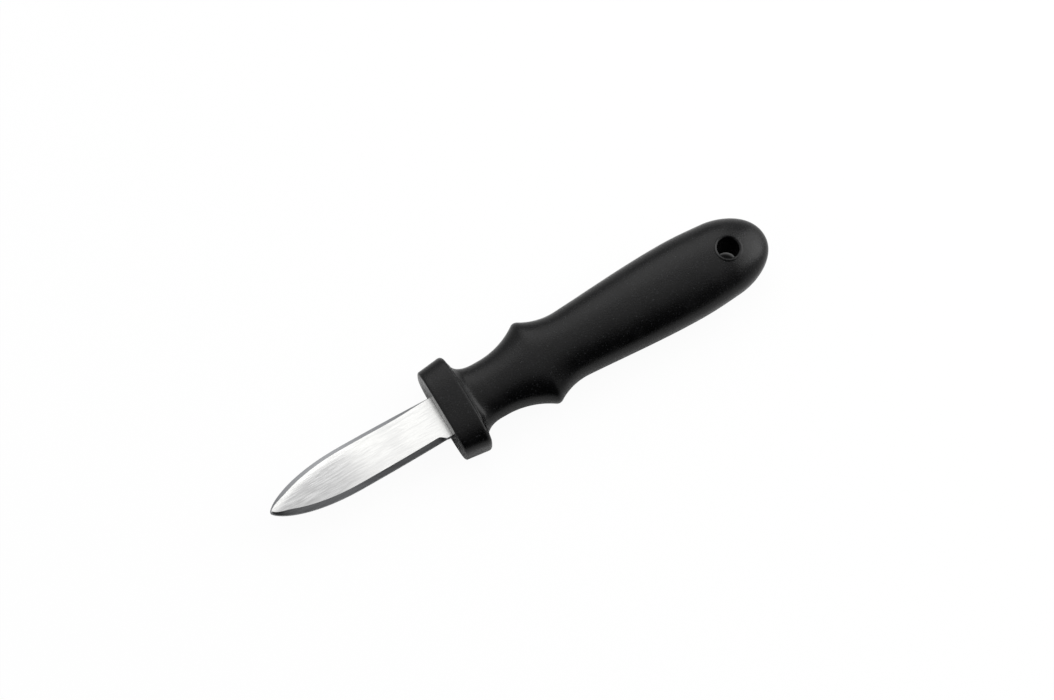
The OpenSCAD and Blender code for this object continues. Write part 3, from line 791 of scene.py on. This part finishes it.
rings = [(SHOULDER, SLOT_POINT, SLOT_POINT, 2), (SHOULDER, *slot_half, SLOT_SQUARE),
         (SLOT_EASE, *slot_half, SLOT_SQUARE),
         (0, slot_half[0] + SLOT_EASE, slot_half[1] + SLOT_EASE, SLOT_SQUARE)]
front = (rim_half(0) - FRONT_R, GUARD_T / 2 - FRONT_R)
for i in range(1, FACE_STEPS):
    mix = i / FACE_STEPS
    rings.append((0, slot_half[0] + SLOT_EASE + (front[0] - slot_half[0] - SLOT_EASE) * mix,
                  slot_half[1] + SLOT_EASE + (front[1] - slot_half[1] - SLOT_EASE) * mix,
                  SLOT_SQUARE + (GUARD_SQUARE - SLOT_SQUARE) * mix ** 0.5))
for i in range(FRONT_STEPS + 1):
    turn = pi / 2 * i / FRONT_STEPS
    x, drop = FRONT_R * (1 - cos(turn)), FRONT_R * (1 - sin(turn))
    rings.append((x, rim_half(x) - drop, GUARD_T / 2 - drop, GUARD_SQUARE))
for i in range(1, RIM_STEPS):
    x = FRONT_R + (GUARD_LEN - REAR_R - FRONT_R) * i / RIM_STEPS
    rings.append((x, rim_half(x), GUARD_T / 2, GUARD_SQUARE))
for i in range(REAR_STEPS + 1):
    turn = pi / 2 * i / REAR_STEPS
    x, side_in = GUARD_LEN - REAR_R * (1 - sin(turn)), 1 - cos(turn)
    rings.append((x, rim_half(x) - REAR_R * side_in, GUARD_T / 2 - proud / 2 * side_in ** 2, GUARD_SQUARE))
for i in range(HOLLOW_STEPS + 1):
    turn = pi / 2 * i / HOLLOW_STEPS
    run = HOLLOW_LEN * (1 - cos(turn))
    rings.append((GUARD_LEN + LEAN + run, NECK_W / 2 + HOLLOW_H * (1 - sin(turn)),
                  NECK_T / 2 + proud / 2 * max(0, 1 - run / HOLLOW_FACE_LEN) ** 2,
                  GUARD_SQUARE + (BODY_SQUARE - GUARD_SQUARE) * ease(sin(turn))))
neck_start = GUARD_LEN + LEAN + HOLLOW_LEN
BODY_STEPS, BUTT_STEPS = 150, 54
body_rows = [neck_start + (BUTT_START - neck_start) * i / BODY_STEPS for i in range(1, BODY_STEPS + 1)]
butt_rows = [BUTT_START + BUTT_LEN * sin(pi / 2 * i / BUTT_STEPS) for i in range(1, BUTT_STEPS + 1)]
rings += [body_ring(x) for x in body_rows + butt_rows]
print(f"{len(rings)} rings")

# %% [markdown]
# The skin has a square opening on the top and on the bottom for the hang hole. A patch
# of rings fills each: from the square border in to the round mouth, over
# the softened lip and down the wall. Its points lie on the same ovals as the rest, so
# the surface stays smooth, with no trace of a cut. Round each mouth runs the fine raised
# line that the mould's core pin leaves.

# %% The grip as one closed skin
SIDES = 128
HOLE_R, HOLE_LIP = 3.5, 0.5
BEAD_W, BEAD_H = 0.5, 0.12
HOLE = HANDLE_LEN - HOLE_FROM_BUTT
PATCH_REACH = 6.4
CRISP_GRIP = radians(50)

def power(value, exponent):
    """A power that keeps the sign."""
    return abs(value) ** exponent * (1 if value >= 0 else -1)


points, faces = [], []
for x, wide, thick, square in rings:
    for j in range(SIDES):
        turn = 2 * pi * j / SIDES
        points.append((x, wide * power(cos(turn), 2 / square), thick * power(sin(turn), 2 / square)))

first_row = min(i for i, ring in enumerate(rings) if ring[0] > HOLE - PATCH_REACH)
last_row = max(i for i, ring in enumerate(rings) if ring[0] < HOLE + PATCH_REACH)
crown_point = first_row * SIDES + SIDES // 4
side_step = min(j for j in range(SIDES // 4) if abs(points[crown_point - j][1]) > PATCH_REACH)
low_side, high_side = SIDES // 4 - side_step, SIDES // 4 + side_step

for i in range(len(rings) - 1):
    for j in range(SIDES):
        mirrored = SIDES - 1 - j
        in_rows = first_row <= i < last_row
        if in_rows and (low_side <= j < high_side or low_side <= mirrored < high_side):
            continue
        k = (j + 1) % SIDES
        a, b = i * SIDES, (i + 1) * SIDES
        faces.append((a + j, a + k, b + k, b + j))
faces.append(tuple(reversed(range(SIDES))))
faces.append(tuple((len(rings) - 1) * SIDES + j for j in range(SIDES)))

border = [(first_row, j) for j in range(low_side, high_side)]
border += [(i, high_side) for i in range(first_row, last_row)]
border += [(last_row, j) for j in range(high_side, low_side, -1)]
border += [(i, low_side) for i in range(last_row, first_row, -1)]


def surface_height(x, y):
    """Height of the grip's upper side over its middle plane."""
    _, wide, thick, square = body_ring(x)
    return thick * (1 - (abs(y) / wide) ** square) ** (1 / square)


PATCH_STEPS, BEAD_STEPS, LIP_STEPS, WALL_STEPS = 7, 6, 5, 8
loops = [[i * SIDES + j for i, j in border]]


def add_loop(place_of):
    """A loop of new points round the hole, one for each border point."""
    start = len(points)
    for i, j in border:
        x, y, _ = points[i * SIDES + j]
        points.append(place_of(x, y, atan2(y, x - HOLE)))
    loops.append(list(range(start, start + len(border))))


def on_surface(side, share, radius):
    """Places between the border and a circle, on the grip's upper or lower side."""
    def place_of(x, y, turn):
        px = x + (HOLE + radius * cos(turn) - x) * share
        py = y + (radius * sin(turn) - y) * share
        return px, py, side * surface_height(px, py)
    return place_of


def on_bead(side, share):
    """Places on the fine raised line round the mouth, which the mould's core pin leaves."""
    def place_of(x, y, turn):
        radius = HOLE_R + HOLE_LIP + BEAD_W * (1 - share)
        px, py = HOLE + radius * cos(turn), radius * sin(turn)
        return px, py, side * (surface_height(px, py) + BEAD_H * sin(pi * share))
    return place_of


def on_lip(side, bend):
    """Places on the softened mouth, from the surface round to the wall."""
    def place_of(x, y, turn):
        out = HOLE_R + HOLE_LIP
        top = surface_height(HOLE + out * cos(turn), out * sin(turn))
        radius = HOLE_R + HOLE_LIP * (1 - sin(bend))
        return HOLE + radius * cos(turn), radius * sin(turn), side * (top - HOLE_LIP * (1 - cos(bend)))
    return place_of


def on_wall(share):
    """Places on the wall, between the two mouths."""
    def place_of(x, y, turn):
        out = HOLE_R + HOLE_LIP
        top = surface_height(HOLE + out * cos(turn), out * sin(turn)) - HOLE_LIP
        return HOLE + HOLE_R * cos(turn), HOLE_R * sin(turn), top * (1 - 2 * share)
    return place_of


for i in range(1, PATCH_STEPS + 1):
    add_loop(on_surface(1, i / PATCH_STEPS, HOLE_R + HOLE_LIP + BEAD_W))
for i in range(1, BEAD_STEPS + 1):
    add_loop(on_bead(1, i / BEAD_STEPS))
for i in range(1, LIP_STEPS + 1):
    add_loop(on_lip(1, pi / 2 * i / LIP_STEPS))
for i in range(1, WALL_STEPS + 1):
    add_loop(on_wall(i / WALL_STEPS))
for i in range(LIP_STEPS - 1, 0, -1):
    add_loop(on_lip(-1, pi / 2 * i / LIP_STEPS))
for i in range(BEAD_STEPS, 0, -1):
    add_loop(on_bead(-1, i / BEAD_STEPS))
for i in range(PATCH_STEPS, 0, -1):
    add_loop(on_surface(-1, i / PATCH_STEPS, HOLE_R + HOLE_LIP + BEAD_W))
loops.append([i * SIDES + (SIDES - j) % SIDES for i, j in border])
for outer, inside in zip(loops, loops[1:]):
    for k in range(len(border)):
        n = (k + 1) % len(border)
        faces.append((outer[k], outer[n], inside[n], inside[k]))

used = sorted({index for face in faces for index in face})
new_index = {old: new for new, old in enumerate(used)}
placed_points = [((points[old][0] + GUARD_X) * MM, points[old][1] * MM, (points[old][2] + AXIS_Z) * MM)
                 for old in used]
grip_mesh = bpy.data.meshes.new("grip_skin")
grip_mesh.from_pydata(placed_points, [], [[new_index[old] for old in face] for face in faces])
grip_mesh.shade_smooth()
grip_mesh.set_sharp_from_angle(angle=CRISP_GRIP)
grip_mesh.materials.append(rubber)
piece("grip_skin", grip_mesh, "grip")
print(f"grip: {len(grip_mesh.polygons)} faces, mouth patch of {len(border)} spokes")
